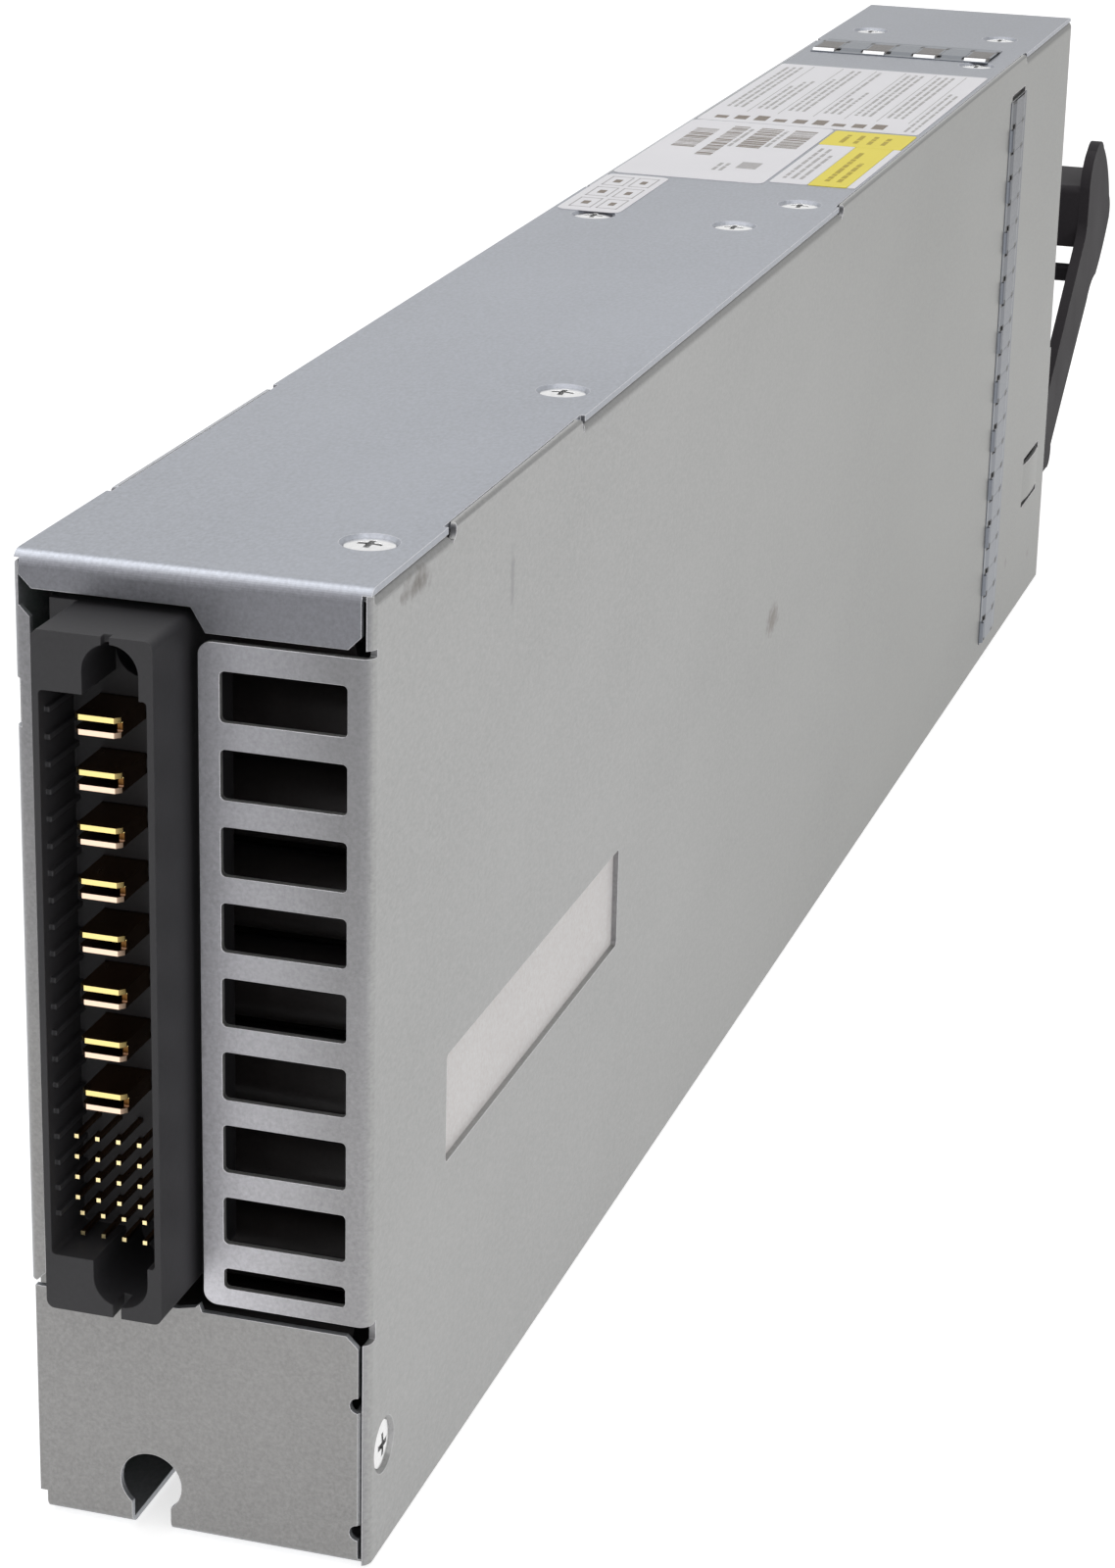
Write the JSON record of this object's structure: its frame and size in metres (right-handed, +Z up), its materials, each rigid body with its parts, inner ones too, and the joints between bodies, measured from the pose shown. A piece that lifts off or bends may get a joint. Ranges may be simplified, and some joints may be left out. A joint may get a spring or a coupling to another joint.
{
  "type": "hot-swap server power supply",
  "caption": "Tall, narrow hot-swap power supply for a server bay, with a blind-mate connector at its back and fans, an inlet and a folding release lever at its front.",
  "frame": {"origin": "on the underside of the case, at the middle of its length and thickness", "axes": "+X thickness, towards the wall with the window; +Y along the length, from the blind-mate connector to the handle; +Z up, the case's height"},
  "size_m": [0.0436, 0.5118, 0.1199],
  "materials": {
    "zinc_steel": "zinc-plated sheet steel, satin",
    "screw_steel": "plated screw steel, satin",
    "clear_film": "pale insulating sheet",
    "spring_steel": "thin spring strip, tinned, slightly blue",
    "connector_plastic": "glass-filled black moulding",
    "gold_contact": "gold-plated contact",
    "circuit_board": "solder-masked board",
    "brass_standoff": "turned brass",
    "capacitor_sleeve": "shrink sleeve",
    "tinned_copper": "tinned copper",
    "heatsink_aluminium": "extruded",
    "package_epoxy": "moulded epoxy",
    "ferrite": "fired ferrite",
    "winding_tape": "polyester tape",
    "magnet_wire": "enamelled copper",
    "film_capacitor": "boxed film",
    "relay_case": "moulded",
    "fuse_ceramic": "ceramic tube",
    "inlet_plastic": "moulded",
    "inlet_contact": "nickel-plated",
    "light_pipe": "milky light pipe",
    "fan_plastic": "moulded",
    "lever_plastic": "glass-filled nylon"
  },
  "bodies": {
    "case": {"side_cover": "zinc_steel", "chassis_tray": "zinc_steel", "top_cover": "zinc_steel", "cover_crossbar": "zinc_steel", "fan_panel": "zinc_steel", "lever_bracket": "zinc_steel", "cover_screws": "screw_steel", "side_screw": "screw_steel", "board_screws": "screw_steel", "fan_screws": "screw_steel", "lever_pins": "screw_steel", "window_insulator": "clear_film", "board_insulator": "clear_film", "ground_spring_right": "spring_steel", "ground_spring_left": "spring_steel", "ground_spring_top": "spring_steel", "connector_housing": "connector_plastic", "power_blades": "gold_contact", "signal_pins": "gold_contact", "main_board": "circuit_board", "control_card": "circuit_board", "filter_board": "circuit_board", "board_standoffs": "brass_standoff", "output_capacitors": "capacitor_sleeve", "bulk_capacitors": "capacitor_sleeve", "output_busbars": "tinned_copper", "rectifier_heatsink": "heatsink_aluminium", "primary_heatsink": "heatsink_aluminium", "rectifier_transistors": "package_epoxy", "primary_transistors": "package_epoxy", "control_chips": "package_epoxy", "bridge_rectifier": "package_epoxy", "transformer_cores": "ferrite", "boost_choke_core": "ferrite", "line_choke_cores": "ferrite", "transformer_windings": "winding_tape", "boost_choke_base": "winding_tape", "boost_choke_winding": "magnet_wire", "line_choke_windings": "magnet_wire", "resonant_capacitors": "film_capacitor", "line_capacitors": "film_capacitor", "inrush_relay": "relay_case", "standby_transformer": "winding_tape", "line_fuse": "fuse_ceramic", "fuse_clips": "tinned_copper", "inlet_housing": "inlet_plastic", "inlet_pins": "inlet_contact", "status_lights": "light_pipe", "upper_fan_frame": "fan_plastic", "lower_fan_frame": "fan_plastic"},
    "lever": {"release_lever": "lever_plastic"},
    "upper_rotor": {"upper_fan_rotor": "fan_plastic"},
    "lower_rotor": {"lower_fan_rotor": "fan_plastic"}
  },
  "joints": [
    {"name": "lever_hinge", "type": "hinge", "parent": "case", "child": "lever", "pos_m": [0, 0.19675, 0.02665], "axis": [-1, 0, 0], "range_deg": [0, 35]},
    {"name": "upper_fan_spin", "type": "hinge", "parent": "case", "child": "upper_rotor", "pos_m": [0, 0.199, 0.0982], "axis": [0, 1, 0], "continuous": true},
    {"name": "lower_fan_spin", "type": "hinge", "parent": "case", "child": "lower_rotor", "pos_m": [0, 0.199, 0.06], "axis": [0, 1, 0], "continuous": true}
  ]
}
